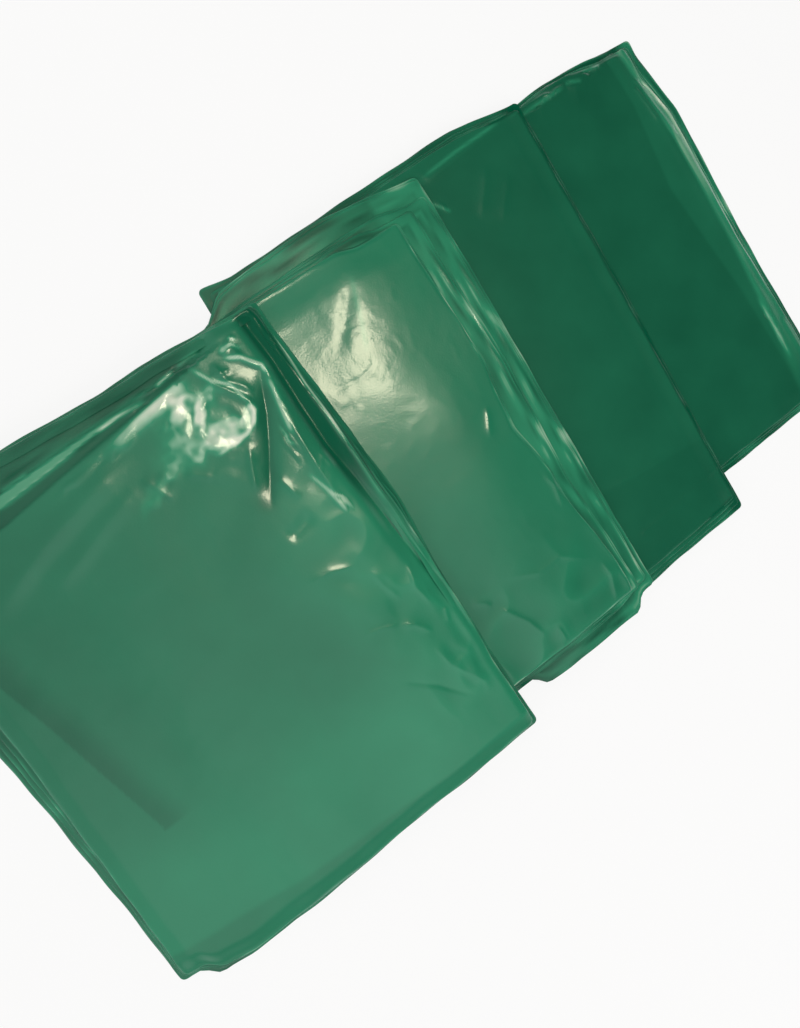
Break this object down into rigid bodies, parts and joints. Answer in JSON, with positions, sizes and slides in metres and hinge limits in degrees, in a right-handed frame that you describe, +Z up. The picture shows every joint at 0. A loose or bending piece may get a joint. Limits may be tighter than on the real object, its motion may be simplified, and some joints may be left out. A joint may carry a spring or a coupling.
{
  "type": "folded bin bags",
  "caption": "Large thin film refuse sacks folded flat and laid in an overlapping row, ready to be opened and hung in a bin",
  "frame": {"origin": "centre of the pack's bounding box, on the table under it", "axes": "+X along the row from the top bag to the bottom bag, +Y across the row towards the bags' open upper edges, +Z up"},
  "size_m": [0.527, 0.3052, 0.0159],
  "materials": {
    "green_film": "thin translucent green polyethylene film, semi-gloss"
  },
  "bodies": {
    "root": {"top_bag": "green_film", "second_bag": "green_film", "third_bag": "green_film", "bottom_bag": "green_film"}
  },
  "joints": []
}
